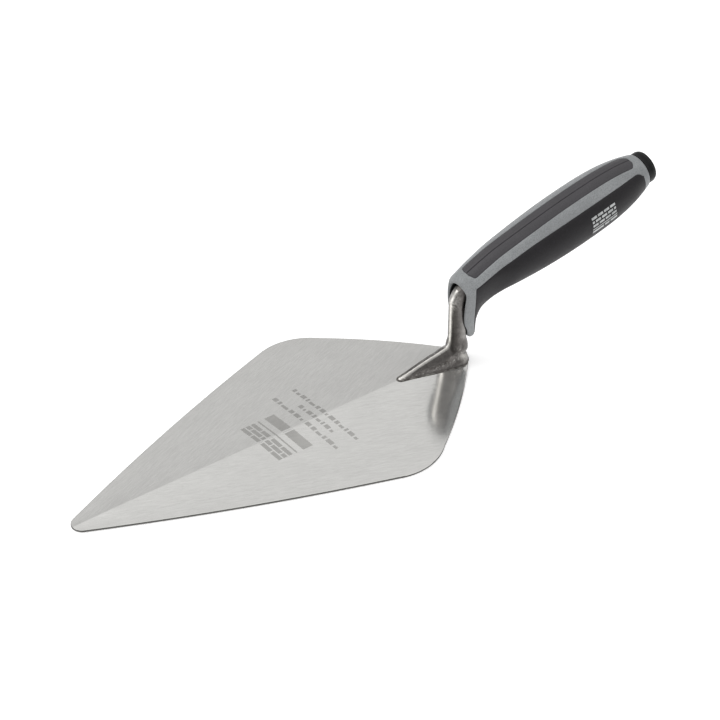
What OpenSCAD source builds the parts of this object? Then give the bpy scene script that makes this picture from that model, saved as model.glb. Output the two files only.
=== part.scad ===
// Brick trowel, London pattern, with a soft-grip handle. Millimetres.
// The blade's flat underside lies on Z = 0 with the middle of its length at the origin.
// +X runs from the pointed tip to the handle, +Z is up, and the tool is symmetric about Y = 0.

/* [Blade] */
// Blade length from tip to heel
blade_length = 279.4; // [260:0.2:300]
// Blade width at the shoulders
blade_width = 136; // [126:1:146]
// Distance from the tip to the centre of the shoulder arc
shoulder_from_tip = 188.4; // [180:0.2:192]
// Radius of the rounded shoulders
shoulder_radius = 41.3; // [36:0.1:46]
// Radius of the rounded tip
tip_radius = 6.1; // [4:0.1:8]
// Outward bow of the two long edges
long_edge_bow = 2.4; // [0:0.1:4]
// Outward bow of the two heel edges
heel_edge_bow = 2.3; // [0:0.1:4]
// Half width of the blunt heel under the foot
heel_half_width = 4.8; // [4:0.1:6]
// Thickness at the ground rim
rim_thickness = 1.3; // [1.1:0.1:1.6]
// Thickness on the centre crease near the tip
crease_tip = 1.9; // [1.7:0.1:2.2]
// Thickness on the centre crease at the heel
crease_heel = 3.0; // [2.6:0.1:3.3]

/* [Foot and neck] */
// Length of the wedge-shaped foot forged out over the blade
foot_length = 51; // [46:0.5:56]
// Radius of the round heel of the foot
foot_radius = 9.2; // [8:0.1:9.8]
// Height of the foot where the neck rises
foot_height = 13; // [11:0.5:14]
// Width of the weld bead around the foot
bead_width = 1.2; // [0.8:0.1:1.6]
// Radius of the neck just above the foot
neck_base_radius = 5.55; // [5.2:0.05:5.8]
// Radius of the neck at the bend
neck_top_radius = 5.25; // [4.9:0.05:5.4]
// Forward lean of the neck in degrees
neck_lean = 7.5; // [6.5:0.5:8.5]
// Centreline radius of the bend between neck and tang
bend_radius = 10; // [9:0.5:10.5]

/* [Handle] */
// Upward slope of the handle in degrees
handle_slope = 14.9; // [14:0.1:15.5]
// Radius of the belly of the handle
belly_radius = 17.75; // [17.4:0.05:18.2]
// Depth of the soft grips let into the shell
grip_depth = 2.2; // [1.8:0.1:2.4]
// Half width of the top grip
top_grip_half_width = 6.4; // [5.6:0.1:6.8]
// Outer radius of the hidden core tube
core_radius = 8.5; // [8.2:0.1:8.7]

/* [Tang and end cap] */
// Radius of the tang inside the core
tang_radius = 4; // [3.6:0.1:4.3]
// Radius of the threaded end of the tang
thread_radius = 3; // [2.8:0.1:3.1]
// Radial clearance of the tang in its bore
tang_clearance = 0.05; // [0.05:0.01:0.15]
// Across-flats size of the tang nut
nut_flats = 10; // [9.5:0.1:10.5]
// Outer radius of the tang washer
washer_radius = 6.6; // [6.2:0.1:6.8]
// Radius of the striking head of the end cap
cap_radius = 10.3; // [10:0.1:10.6]
// Length of the end cap that shows
cap_length = 6.5; // [5.5:0.5:7.5]
// Radius of the rounded rim of the end cap
cap_rim = 1.4; // [0.8:0.1:1.8]

/* [Hidden] */
$fn = 64;
tip_x = -blade_length / 2;
heel_x = blade_length / 2;
shoulder_x = tip_x + shoulder_from_tip;
shoulder_y = blade_width / 2 - shoulder_radius;
tip_steps = 7;
edge_steps = 16;
shoulder_steps = 14;
heel_steps = 9;

// ---- blade outline ----
// Direction of the outward normal of the long edge, tangent to the tip arc and the shoulder arc.
arc_gap_x = shoulder_x - (tip_x + tip_radius);
arc_gap = sqrt(pow(arc_gap_x, 2) + pow(shoulder_y, 2));
edge_normal = atan2(shoulder_y, arc_gap_x)
    + acos((tip_radius - shoulder_radius) / arc_gap);
// Direction of the outward normal of the heel edge, tangent to the shoulder arc.
heel_dx = shoulder_x - heel_x;
heel_dy = shoulder_y - heel_half_width;
heel_gap = sqrt(heel_dx * heel_dx + heel_dy * heel_dy);
heel_swing = asin(shoulder_radius / heel_gap);
heel_dir = atan2(heel_dy, heel_dx) - heel_swing;
heel_normal = heel_dir - 90;

function on_circle(cx, cy, r, a) = [cx + r * cos(a), cy + r * sin(a)];
function bowed(a, b, normal, bow, t) =
    a + (b - a) * t + [cos(normal), sin(normal)] * bow * 4 * t * (1 - t);

tip_tangent = on_circle(tip_x + tip_radius, 0, tip_radius, edge_normal);
shoulder_front = on_circle(shoulder_x, shoulder_y, shoulder_radius, edge_normal);
shoulder_rear = on_circle(shoulder_x, shoulder_y, shoulder_radius, heel_normal);
heel_corner = [heel_x, heel_half_width];

// One side of the outline, from the tip on the centreline round to the heel corner.
half_outline = concat(
    [for (i = [0 : tip_steps - 1])
        on_circle(tip_x + tip_radius, 0, tip_radius, 180 + (edge_normal - 180) * i / tip_steps)],
    [for (i = [0 : edge_steps - 1])
        bowed(tip_tangent, shoulder_front, edge_normal, long_edge_bow, i / edge_steps)],
    [for (i = [0 : shoulder_steps - 1])
        on_circle(shoulder_x, shoulder_y, shoulder_radius,
            edge_normal + (heel_normal - edge_normal) * i / shoulder_steps)],
    [for (i = [0 : heel_steps])
        bowed(shoulder_rear, heel_corner, heel_normal, heel_edge_bow, i / heel_steps)]
);
outline_count = len(half_outline);

// Across each half the thickness falls from the crease to the rim on a shallow hollow.
across = [0, 0.28, 0.62, 1];
hollow = [1, 0.40, 0.10, 0];
function crease_z(x) = crease_tip + (crease_heel - crease_tip) * (x - tip_x) / blade_length;
function blade_top(x, share) =
    rim_thickness + (crease_z(x) - rim_thickness) * lookup(share, [for (k = [0 : 3]) [across[k], hollow[k]]]);

// Surface points in rows from the left rim to the right rim, one row per outline point.
row_share = [1, 0.62, 0.28, 0, -0.28, -0.62, -1];
blade_rows = [for (i = [1 : outline_count - 1]) half_outline[i]];
blade_top_points = [for (p = blade_rows) for (s = row_share)
    [p[0], p[1] * s, blade_top(p[0], abs(s))]];
blade_under_points = [for (p = blade_rows) for (s = row_share) [p[0], p[1] * s, 0]];

module blade_plate() {
    rows = len(blade_rows);
    cols = len(row_share);
    half = rows * cols;
    tip_top = 2 * half;
    tip_under = 2 * half + 1;
    points = concat(blade_top_points, blade_under_points,
        [[tip_x, 0, crease_tip * 0.9], [tip_x, 0, 0]]);
    top_faces = [for (i = [0 : rows - 2]) for (j = [0 : cols - 2])
        let (a = i * cols + j, b = a + cols)
        each [[a, b, b + 1], [a, b + 1, a + 1]]];
    under_faces = [for (f = top_faces) [f[2] + half, f[1] + half, f[0] + half]];
    left_faces = [for (i = [0 : rows - 2])
        let (a = i * cols, b = a + cols)
        each [[a, a + half, b + half], [a, b + half, b]]];
    right_faces = [for (i = [0 : rows - 2])
        let (a = i * cols + cols - 1, b = a + cols)
        each [[a, b, b + half], [a, b + half, a + half]]];
    heel_faces = [for (j = [0 : cols - 2])
        let (a = (rows - 1) * cols + j)
        each [[a, a + half, a + 1 + half], [a, a + 1 + half, a + 1]]];
    tip_faces = concat(
        [for (j = [0 : cols - 2]) [tip_top, j, j + 1]],
        [for (j = [0 : cols - 2]) [tip_under, half + j + 1, half + j]],
        [[tip_top, tip_under, half], [tip_top, half, 0]],
        [[tip_top, cols - 1, half + cols - 1], [tip_top, half + cols - 1, tip_under]]);
    polyhedron(points, concat(top_faces, under_faces, left_faces, right_faces, heel_faces, tip_faces));
}

// ---- neck and tang lines in the X-Z plane ----
neck_base = [heel_x - 7.4, 14];
neck_dir = [-sin(neck_lean), cos(neck_lean)];
axis_origin = [heel_x + 10.3, 57.4];
axis_dir = [cos(handle_slope), sin(handle_slope)];
axis_up = [-sin(handle_slope), cos(handle_slope)];
function cross2(a, b) = a[0] * b[1] - a[1] * b[0];
to_corner = cross2(axis_origin - neck_base, axis_dir) / cross2(neck_dir, axis_dir);
bend_corner = neck_base + neck_dir * to_corner;
bend_angle = 90 + neck_lean - handle_slope;
bend_tangent = bend_radius * tan(bend_angle / 2);
bend_start = bend_corner - neck_dir * bend_tangent;
bend_end = bend_corner + axis_dir * bend_tangent;
bend_centre = bend_start + [cos(neck_lean), sin(neck_lean)] * bend_radius;
neck_height = norm(bend_start - neck_base);

// Distances along the handle axis, measured from the axis origin.
bend_end_s = (bend_end - axis_origin) * axis_dir;
core_start = -6;
washer_start = 105.5;
washer_thickness = 1.5;
nut_height = 5;
thread_end = 113.6;
spigot_start = 114.6;
handle_end = 120.8;
pocket_radius = 7;
spigot_radius = 6.95;

// Puts its children with their Z axis along the handle axis, s millimetres along it.
module along_axis(s) {
    translate([axis_origin[0] + axis_dir[0] * s, 0, axis_origin[1] + axis_dir[1] * s])
        rotate([0, 90 - handle_slope, 0])
            children();
}

// The straight tang behind the bend: a shoulder, the plain tang and its threaded end.
module tang() {
    shoulder = core_start - bend_end_s;
    plain = washer_start - bend_end_s;
    full = thread_end - bend_end_s;
    rotate_extrude()
        polygon([[0, 0], [neck_top_radius, 0], [neck_top_radius, shoulder], [tang_radius, shoulder],
            [tang_radius, plain], [thread_radius, plain], [thread_radius, full - 0.6],
            [thread_radius - 0.6, full], [0, full]]);
}

// Faint round swelling where the bend runs into a straight length.
module bend_knuckle(at, r) {
    translate([at[0], 0, at[1]])
        sphere(r = r + 0.03);
}

// Puts its children with their Z axis along the neck, starting at the neck's foot.
module along_neck(h) {
    translate([neck_base[0] + neck_dir[0] * h, 0, neck_base[1] + neck_dir[1] * h])
        rotate([0, -neck_lean, 0])
            children();
}

// A quarter-like bend that joins the neck line to the handle axis.
module bend(r) {
    translate([bend_centre[0], 0, bend_centre[1]])
        rotate([90, 0, 0])
            rotate([0, 0, 90 + handle_slope])
                rotate_extrude(angle = bend_angle)
                    translate([bend_radius, 0])
                        circle(r = r);
}

// ---- foot ----
foot_tip_x = heel_x - foot_length;
foot_heel_x = heel_x - foot_radius + 1.4;

// Underside of the foot, just above the blade's own underside so nothing hangs below the blade.
foot_base = 1.0;

module foot_wedge() {
    hull() {
        translate([foot_tip_x, 0, foot_base])
            cylinder(r = 0.8, h = crease_heel + 0.6 - foot_base, $fn = 16);
        translate([foot_heel_x, 0, foot_base])
            cylinder(r = foot_radius, h = 4.6 - foot_base, $fn = 48);
        translate([neck_base[0] - 0.6, 0, foot_height - 4])
            cylinder(r1 = neck_base_radius + 1.6, r2 = neck_base_radius + 0.7, h = 2.4, $fn = 32);
        translate([neck_base[0] - 3.4, 0, foot_base])
            cylinder(r = 1.6, h = foot_height - foot_base, $fn = 16);
    }
}

// A low skirt a little wider than the foot.
module bead_skirt() {
    hull() {
        translate([foot_tip_x, 0, foot_base])
            cylinder(r1 = 0.8 + bead_width, r2 = 0.9 + bead_width / 4, h = crease_heel + 0.4 - foot_base,
                $fn = 16);
        translate([foot_heel_x, 0, foot_base])
            cylinder(r1 = foot_radius + bead_width, r2 = foot_radius + bead_width / 4, h = 2.4, $fn = 48);
    }
}

module blade() {
    color([0.74, 0.74, 0.72])
        blade_plate();
}

module shank() {
    color([0.36, 0.34, 0.32])
        difference() {
            union() {
                foot_wedge();
                along_neck(-6)
                    cylinder(r1 = neck_base_radius + 1.6, r2 = neck_base_radius, h = 7);
                along_neck(0)
                    cylinder(r1 = neck_base_radius, r2 = neck_top_radius, h = neck_height);
                bend(neck_top_radius);
                bend_knuckle(bend_start, neck_top_radius);
                bend_knuckle(bend_end, neck_top_radius);
                along_axis(bend_end_s)
                    tang();
            }
            blade_plate();
        }
}

// The bead fills the corner between the foot and the blade's upper face.
module foot_weld() {
    color([0.30, 0.28, 0.26])
        difference() {
            intersection() {
                bead_skirt();
                linear_extrude(4.2)
                    polygon(concat(half_outline,
                        [for (i = [outline_count - 1 : -1 : 1]) [half_outline[i][0], -half_outline[i][1]]]));
            }
            foot_wedge();
            blade_plate();
        }
}

// ---- handle surface ----
// Barrel radius at distance s along the axis: a long belly that closes faster at the butt.
belly_s = 62;
front_drop = 3.9;
butt_drop = 7.95;
function barrel_radius(s) = s < belly_s
    ? belly_radius - front_drop * pow((belly_s - s) / belly_s, 1.75)
    : belly_radius - butt_drop * pow((s - belly_s) / (belly_s - 0.4), 3.1);
function barrel_lift(s) = s < 45 ? 0.9 * pow((45 - s) / 45, 2) : 0;
function barrel_centre(s) = axis_origin + axis_dir * s + axis_up * barrel_lift(s);
function barrel_section(s) =
    let (c = barrel_centre(s), r = barrel_radius(s), t = c + axis_up * r, b = c - axis_up * r)
    [t[0], t[1], b[0], b[1], r, r, 0];

// Hood and finger guard. Each section is a tall egg between a top point and a bottom point:
// top X from the heel, top Z, bottom X from the heel, bottom Z, top radius, bottom radius, forward bow.
barrel_start = 10;
hood_sections = [
    [-14.8, 58.7, -2.0, 17.1, 10.1, 4.3, 3.4],
    [-12.4, 61.2, 0.9, 14.5, 10.9, 4.4, 2.3],
    [-8.7, 63.4, 3.3, 16.2, 11.4, 4.4, 1.4],
    [-4.4, 65.7, 2.2, 25.4, 11.9, 4.6, 0.7],
    [0.6, 68.3, 3.4, 34.4, 12.4, 6.2, 0.3],
    [5.9, 70.8, 8.2, 40.3, 13.0, 9.3, 0.1],
    [11.0, 73.1, 15.2, 44.1, 13.8, 12.7, 0]
];
hood_count = len(hood_sections);
heel_shift = [heel_x, 0, heel_x, 0, 0, 0, 0];
function key_section(k) =
    k < 0 ? 2 * key_section(0) - key_section(1)
    : k < hood_count ? hood_sections[k] + heel_shift
    : barrel_section(barrel_start + 6 * (k - hood_count));
function spline(a, b, c, d, t) =
    0.5 * (2 * b + (c - a) * t + (2 * a - 5 * b + 4 * c - d) * t * t
        + (3 * b - a - 3 * c + d) * t * t * t);
// Stations 0 to hood_count lie on the hood; beyond that one unit is ten millimetres of barrel.
function section_at(u) = u < hood_count
    ? let (k = floor(u))
        spline(key_section(k - 1), key_section(k), key_section(k + 1), key_section(k + 2), u - k)
    : barrel_section(barrel_start + (u - hood_count) * 10);
function station(s) = hood_count + (s - barrel_start) / 10;
function ease(x) = let (t = min(1, max(0, x))) t * t * (3 - 2 * t);

// Point on a section at angle v from its top, sunk below the surface by depth.
function surface_point(section, v, depth) =
    let (
        top = [section[0], section[1]],
        bottom = [section[2], section[3]],
        up = (top - bottom) / norm(top - bottom),
        ahead = [-up[1], up[0]],
        w = ease((abs(v) - 55) / 70),
        ct = top - up * section[4],
        cb = bottom + up * section[5],
        c = ct + (cb - ct) * w + ahead * section[6] * 4 * w * (1 - w),
        r = section[4] + (section[5] - section[4]) * w - depth,
        q = c + up * r * cos(v)
    )
    [q[0], -r * sin(v), q[1]];

// ---- grid that carries the shell and both grips ----
// Hood rows: station, and how far the row swings forward down the sides.
hood_rows = [[0, 0], [0.8, 0.2], [1.55, 0.5], [2.22, 0.72], [2.5, 0.76], [2.75, 0.78],
    [3.4, 0.74], [4.2, 0.6], [5.1, 0.38], [6.0, 0.14]];
pad_row = 3;
lower_row = 5;
pad_end_s = 114.4;
lower_end_s = 116.5;
barrel_rows = concat([for (s = [10 : 8 : 98]) s], [104, 109, pad_end_s - 1.6, pad_end_s,
    lower_end_s - 1.2, lower_end_s, handle_end]);
all_rows = concat(hood_rows, [for (s = barrel_rows) [station(s), 0]]);
row_count = len(all_rows);
pad_end_row = row_count - 4;
lower_end_row = row_count - 2;
pad_cells = 3;
band_cells = 2;
lower_cells = 11;
side_cells = pad_cells + band_cells + lower_cells;
column_count = 2 * side_cells;

// Rounded ends: share of the full width at distance e from an end.
function rounded(e, reach) = e >= reach ? 1 : max(0.4, sqrt(1 - pow(1 - e / reach, 2.6)));
function pad_angle(u, section) =
    asin(min(0.9, top_grip_half_width / section[4]))
    * rounded(max(0, u - all_rows[pad_row][0]), 1)
    * rounded(max(0, station(pad_end_s) - u), 0.55);
function lower_angle(u) =
    let (to_butt = max(0, station(lower_end_s) - u))
    58.5 - 14.5 * ease((u - 3.5) / 6) + 26 * (1 - rounded(to_butt, 0.9));

// Share of a row's forward swing at an angle from the top.
function swing(v) = ease((v - 25) / 43);

// A shallow V groove runs along the middle of the top grip.
groove_half_width = 0.4;
groove_depth = 0.5;
function column_angle(j, pad, low) =
    j == 0 ? 0
    : j == 1 ? groove_half_width / top_grip_half_width * 20
    : j <= pad_cells ? pad * (j / pad_cells)
    : j <= pad_cells + band_cells ? pad + (low - pad) * (j - pad_cells) / band_cells
    : low + (180 - low) * (j - pad_cells - band_cells) / lower_cells;

function grid_point(i, j, depth) =
    let (
        u0 = all_rows[i][0],
        side = j <= side_cells ? 1 : -1,
        jj = j <= side_cells ? j : column_count - j,
        v = column_angle(jj, pad_angle(u0, section_at(u0)), lower_angle(u0)),
        u = u0 - all_rows[i][1] * swing(v),
        in_groove = j == 0 && i > pad_row && i < pad_end_row,
        sunk = depth == 0 && in_groove ? groove_depth : depth
    )
    surface_point(section_at(u), side * v, sunk);

grid_size = row_count * column_count;
surface_points = [for (i = [0 : row_count - 1]) for (j = [0 : column_count - 1]) grid_point(i, j, 0)];
floor_points = [for (i = [0 : row_count - 1]) for (j = [0 : column_count - 1])
    grid_point(i, j, grip_depth)];
function wrap(j) = (j + column_count) % column_count;
// 0 is the shell's own surface, 1 the top grip, 2 the lower grip.
function cell_kind(i, j) =
    let (jj = wrap(j), k = jj < side_cells ? jj : column_count - 1 - jj)
    i >= pad_row && i < pad_end_row && k < pad_cells ? 1
    : i >= lower_row && i < lower_end_row && k >= pad_cells + band_cells ? 2 : 0;
function index(i, j, level) = level * grid_size + i * column_count + wrap(j);
function quad(a, b, c, d) = [[c, b, a], [d, c, a]];
function flipped(faces) = [for (f = faces) [f[2], f[1], f[0]]];
function cell_faces(i, j, level) =
    quad(index(i, j, level), index(i, j + 1, level), index(i + 1, j + 1, level), index(i + 1, j, level));
// Wall between the surface and the pocket floor along a cell edge.
function wall_faces(i1, j1, i2, j2) =
    quad(index(i1, j1, 0), index(i2, j2, 0), index(i2, j2, 1), index(i1, j1, 1));

module grip_block(kind) {
    cells = [for (i = [0 : row_count - 2]) for (j = [0 : column_count - 1])
        if (cell_kind(i, j) == kind) [i, j]];
    outer_faces = [for (c = cells) each cell_faces(c[0], c[1], 0)];
    inner_faces = [for (c = cells) each flipped(cell_faces(c[0], c[1], 1))];
    walls = [for (c = cells) let (i = c[0], j = c[1]) each concat(
        cell_kind(i - 1, j) != kind ? wall_faces(i, j + 1, i, j) : [],
        cell_kind(i + 1, j) != kind ? wall_faces(i + 1, j, i + 1, j + 1) : [],
        cell_kind(i, j - 1) != kind ? wall_faces(i, j, i + 1, j) : [],
        cell_kind(i, j + 1) != kind ? wall_faces(i + 1, j + 1, i, j + 1) : [])];
    polyhedron(concat(surface_points, floor_points), concat(outer_faces, inner_faces, walls));
}

module shell_block() {
    centre_front = 2 * grid_size;
    centre_butt = centre_front + 1;
    front_section = section_at(0);
    front_middle = [(front_section[0] + front_section[2]) / 2, 0, (front_section[1] + front_section[3]) / 2];
    butt = barrel_centre(handle_end);
    last = row_count - 1;
    skin = [for (i = [0 : last - 1]) for (j = [0 : column_count - 1])
        each cell_faces(i, j, cell_kind(i, j) == 0 ? 0 : 1)];
    row_walls = [for (i = [1 : last - 1]) for (j = [0 : column_count - 1])
        let (before = cell_kind(i - 1, j), after = cell_kind(i, j))
        each (before == 0 && after > 0 ? wall_faces(i, j, i, j + 1)
            : before > 0 && after == 0 ? wall_faces(i, j + 1, i, j) : [])];
    column_walls = [for (i = [0 : last - 1]) for (j = [0 : column_count - 1])
        let (before = cell_kind(i, j - 1), after = cell_kind(i, j))
        each (before == 0 && after > 0 ? wall_faces(i + 1, j, i, j)
            : before > 0 && after == 0 ? wall_faces(i, j, i + 1, j) : [])];
    front = [for (j = [0 : column_count - 1]) [centre_front, index(0, j, 0), index(0, j + 1, 0)]];
    rear = [for (j = [0 : column_count - 1]) [centre_butt, index(last, j + 1, 0), index(last, j, 0)]];
    polyhedron(concat(surface_points, floor_points, [front_middle, [butt[0], 0, butt[1]]]),
        concat(skin, row_walls, column_walls, front, rear));
}

// The space kept open around the neck in the front of the hood.
neck_gap_low = 6.2;
neck_gap_high = 7.4;
module neck_opening() {
    along_neck(-10)
        cylinder(r1 = neck_gap_low, r2 = neck_gap_high, h = neck_height + 10);
    bend(neck_gap_high);
    bend_knuckle(bend_start, neck_gap_high);
    bend_knuckle(bend_end, neck_gap_high);
    along_axis(bend_end_s)
        cylinder(r = neck_gap_high, h = core_start - bend_end_s + 0.5);
}

module handle_shell() {
    color([0.56, 0.58, 0.60])
        difference() {
            shell_block();
            neck_opening();
            along_axis(core_start)
                cylinder(r = core_radius, h = handle_end - core_start + 2);
        }
}

module handle_core() {
    color([0.16, 0.16, 0.17])
        along_axis(core_start)
            difference() {
                cylinder(r = core_radius, h = handle_end - core_start);
                translate([0, 0, -1])
                    cylinder(r = tang_radius + tang_clearance, h = washer_start - core_start + 2);
                translate([0, 0, washer_start - core_start])
                    cylinder(r = pocket_radius, h = handle_end - washer_start + 1);
            }
}

module top_grip() {
    color([0.24, 0.23, 0.25])
        grip_block(1);
}

module lower_grip() {
    color([0.21, 0.20, 0.22])
        grip_block(2);
}

module tang_washer() {
    color([0.62, 0.62, 0.60])
        along_axis(washer_start)
            difference() {
                cylinder(r = washer_radius, h = washer_thickness);
                translate([0, 0, -1])
                    cylinder(r = thread_radius + tang_clearance, h = washer_thickness + 2);
            }
}

module tang_nut() {
    color([0.66, 0.66, 0.64])
        along_axis(washer_start + washer_thickness)
            difference() {
                cylinder(r = nut_flats / 2 / cos(30), h = nut_height, $fn = 6);
                translate([0, 0, -1])
                    cylinder(r = thread_radius + tang_clearance, h = nut_height + 2);
            }
}

module end_cap() {
    head_start = handle_end - spigot_start;
    head_end = head_start + cap_length;
    color([0.13, 0.13, 0.14])
        along_axis(spigot_start)
            rotate_extrude()
                union() {
                    square([spigot_radius, head_start + 1]);
                    translate([0, head_start])
                        square([cap_radius, cap_length - cap_rim]);
                    translate([0, head_start])
                        square([cap_radius - cap_rim, cap_length]);
                    translate([cap_radius - cap_rim, head_end - cap_rim])
                        circle(r = cap_rim);
                }
}

blade();
shank();
foot_weld();
handle_core();
handle_shell();
top_grip();
lower_grip();
tang_washer();
tang_nut();
end_cap();
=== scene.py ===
"""Brick trowel: detailed meshes, procedural materials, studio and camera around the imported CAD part.

Lengths inside the builders are millimetres in the part's own frame and become metres in mesh_object().
The frame: +X from the tip to the handle, +Z up, the blade's underside on Z = 0, symmetric about Y = 0.
"""
import math

import bpy
import numpy as np
from mathutils import Matrix, Vector


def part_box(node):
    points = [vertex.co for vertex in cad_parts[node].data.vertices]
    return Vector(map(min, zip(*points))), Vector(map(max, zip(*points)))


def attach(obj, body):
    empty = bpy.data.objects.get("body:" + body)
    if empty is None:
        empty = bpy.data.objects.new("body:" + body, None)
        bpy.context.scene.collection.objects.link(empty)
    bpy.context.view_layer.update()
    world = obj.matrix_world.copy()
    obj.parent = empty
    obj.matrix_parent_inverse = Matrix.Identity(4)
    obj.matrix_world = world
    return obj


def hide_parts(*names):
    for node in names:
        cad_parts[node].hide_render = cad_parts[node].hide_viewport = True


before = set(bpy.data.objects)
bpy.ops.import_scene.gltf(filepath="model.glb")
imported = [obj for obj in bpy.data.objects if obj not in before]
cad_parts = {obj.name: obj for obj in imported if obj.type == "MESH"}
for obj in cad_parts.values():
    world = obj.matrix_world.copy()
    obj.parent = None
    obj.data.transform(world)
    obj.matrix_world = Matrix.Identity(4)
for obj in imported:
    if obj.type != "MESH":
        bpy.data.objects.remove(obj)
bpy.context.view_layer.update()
MM = 0.001

# ------------------------------
# places and sizes, from the CAD boxes

TIP_X, HEEL_X = (place[0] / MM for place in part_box("blade"))
BLADE_LENGTH = HEEL_X - TIP_X
HANDLE_SLOPE = math.radians(14.9)
AXIS_ORIGIN = np.array([HEEL_X + 10.3, 57.4])
AXIS_DIR = np.array([math.cos(HANDLE_SLOPE), math.sin(HANDLE_SLOPE)])
AXIS_UP = np.array([-AXIS_DIR[1], AXIS_DIR[0]])
CORE_START, HANDLE_END, CAP_LENGTH = -6.0, 120.8, 6.5
CORE_RADIUS = 8.5


# ------------------------------
# mesh helpers


def put(name, data):
    """A new object in the scene for a mesh, light or camera."""
    thing = bpy.data.objects.new(name, data)
    bpy.context.scene.collection.objects.link(thing)
    return thing


def smooth(mesh):
    for polygon in mesh.polygons:
        polygon.use_smooth = True


def mesh_object(name, points, faces, sharp=None):
    """A mesh object from points in millimetres and a list or array of faces."""
    mesh = bpy.data.meshes.new(name)
    mesh.from_pydata((np.asarray(points, float) * MM).tolist(), [], [list(map(int, f)) for f in faces])
    mesh.validate()
    mesh.update()
    smooth(mesh)
    if sharp is not None:
        mesh.set_sharp_from_angle(angle=math.radians(sharp))
    return put(name, mesh)


def read(items, key, width=3, kind=float):
    """One value of every vertex, edge or face as rows."""
    data = np.zeros(len(items) * width, kind)
    items.foreach_get(key, data)
    return data.reshape(-1, width)


def grid_faces(rows, cols, wrap_rows=False, wrap_cols=False, start=0):
    """Quads of a grid whose point (i, j) is start + i * cols + j."""
    i, j = np.meshgrid(np.arange(rows if wrap_rows else rows - 1),
                       np.arange(cols if wrap_cols else cols - 1), indexing="ij")
    i2, j2 = (i + 1) % rows, (j + 1) % cols
    quads = np.stack([i * cols + j, i * cols + j2, i2 * cols + j2, i2 * cols + j], -1)
    return quads.reshape(-1, 4) + start


def outward(points, faces):
    """The faces, turned over if the closed mesh they make is inside out."""
    p = np.asarray(points, float)
    f = np.asarray(faces)
    volume = 0.0
    for k in range(1, f.shape[1] - 1):
        volume += np.einsum("ij,ij->i", p[f[:, 0]], np.cross(p[f[:, k]], p[f[:, k + 1]])).sum()
    return f if volume > 0 else f[:, ::-1]


def ease(x):
    t = np.clip(x, 0, 1)
    return t * t * (3 - 2 * t)


CORNERS = [(x, y, z) for x in (0, 1) for y in (0, 1) for z in (0, 1)]


def lattice(i, j, k, seed):
    """A repeatable number from 0 to 1 for each whole-number place."""
    n = (i * 374761393 + j * 668265263 + k * 2147483647 + seed * 1274126177).astype(np.int64)
    n = (n ^ (n >> 13)) * 1274126177
    n = n ^ (n >> 16)
    return (n & 0xFFFF) / 65535.0


def noise(p, size, seed=0):
    """Smooth noise from -1 to 1 with features about size millimetres across."""
    q = np.asarray(p, float) / size
    c = np.floor(q).astype(np.int64)
    f = q - c
    f = f * f * (3 - 2 * f)
    total = 0.0
    for d in CORNERS:
        w = [f[..., k] if d[k] else 1 - f[..., k] for k in range(3)]
        total = total + w[0] * w[1] * w[2] * lattice(*(c[..., k] + d[k] for k in range(3)), seed)
    return total * 2 - 1


def surface_nets(field, lo, hi, step):
    """Closed quad mesh of field(p) = 0 inside a box; field is negative inside the solid."""
    axes = [np.arange(lo[k], hi[k] + step, step) for k in range(3)]
    grid = np.stack(np.meshgrid(*axes, indexing="ij"), -1)
    f = field(grid)
    inside = f < 0
    cells = tuple(n - 1 for n in f.shape)
    total = np.zeros(cells, int)
    for d in CORNERS:
        total += inside[tuple(slice(d[k], cells[k] + d[k]) for k in range(3))]
    active = (total > 0) & (total < 8)
    number = np.full(cells, -1)
    number[active] = np.arange(active.sum())
    place, count = np.zeros(cells + (3,)), np.zeros(cells)
    faces = []
    for axis in range(3):
        turned = np.moveaxis(f, axis, 0)
        a, b = turned[:-1], turned[1:]
        crossing = (a < 0) != (b < 0)
        at = np.argwhere(crossing)
        t = a[crossing] / (a[crossing] - b[crossing])
        others = [k for k in range(3) if k != axis]
        index = np.zeros((len(at), 3), int)
        index[:, axis] = at[:, 0]
        index[:, others[0]], index[:, others[1]] = at[:, 1], at[:, 2]
        point = index.astype(float)
        point[:, axis] += t
        around = []
        for d0, d1 in ((0, 0), (1, 0), (1, 1), (0, 1)):
            cell = index.copy()
            cell[:, others[0]] -= d0
            cell[:, others[1]] -= d1
            ok = ((cell >= 0) & (cell < np.array(cells))).all(1)
            c = cell[ok]
            np.add.at(place, (c[:, 0], c[:, 1], c[:, 2]), point[ok])
            np.add.at(count, (c[:, 0], c[:, 1], c[:, 2]), 1)
            n = np.full(len(at), -1)
            n[ok] = number[c[:, 0], c[:, 1], c[:, 2]]
            around.append(n)
        quad = np.stack(around, 1)
        flip = (a[crossing] < 0) ^ (axis == 1)
        quad[flip] = quad[flip][:, ::-1]
        faces.append(quad[(quad >= 0).all(1)])
    points = place[active] / count[active][:, None] * step + np.array(lo)
    for _ in range(3):
        g = np.stack([(field(points + e) - field(points - e)) / 0.1 for e in np.eye(3) * 0.05], 1)
        size2 = np.maximum((g * g).sum(1), 0.05)
        points = points - np.clip((field(points) / size2)[:, None] * g, -step / 2, step / 2)
    quads = np.concatenate(faces)
    return points, outward(points, quads)


def smooth_min(a, b, k):
    h = np.clip(0.5 + 0.5 * (b - a) / k, 0, 1)
    return b + (a - b) * h - k * h * (1 - h)


# ------------------------------
# blade

SHOULDER_X, SHOULDER_RADIUS = TIP_X + 188.4, 41.3
SHOULDER_Y = 68.0 - SHOULDER_RADIUS
TIP_RADIUS, HEEL_HALF, LONG_BOW, HEEL_BOW = 6.1, 4.8, 2.4, 2.3
RIM, CREASE_TIP, CREASE_HEEL = 1.3, 1.9, 3.0


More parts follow.
